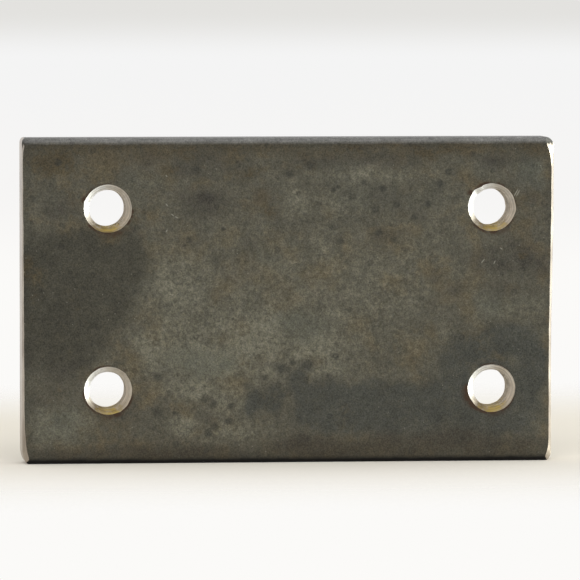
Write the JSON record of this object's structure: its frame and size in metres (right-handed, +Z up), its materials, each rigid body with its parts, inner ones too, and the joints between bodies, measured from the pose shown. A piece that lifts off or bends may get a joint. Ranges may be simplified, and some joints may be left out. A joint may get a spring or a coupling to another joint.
{
  "type": "tapping plate",
  "caption": "Flat bar steel plate with rolled long edges, dressed ends and tapped holes countersunk from both faces, for bolting through another part.",
  "frame": {"origin": "middle of the long edge that the plate stands on, at mid length and mid thickness", "axes": "+X along the length, with the wider hole margin at the -X end; -Y out of the front face; +Z up the height"},
  "size_m": [0.0984, 0.008, 0.06],
  "materials": {
    "hot_rolled_steel": "dark mottled mill scale, with bare steel on the cut ends, the bevels and the hole walls"
  },
  "bodies": {
    "root": {"tapping_plate": "hot_rolled_steel"}
  },
  "joints": []
}
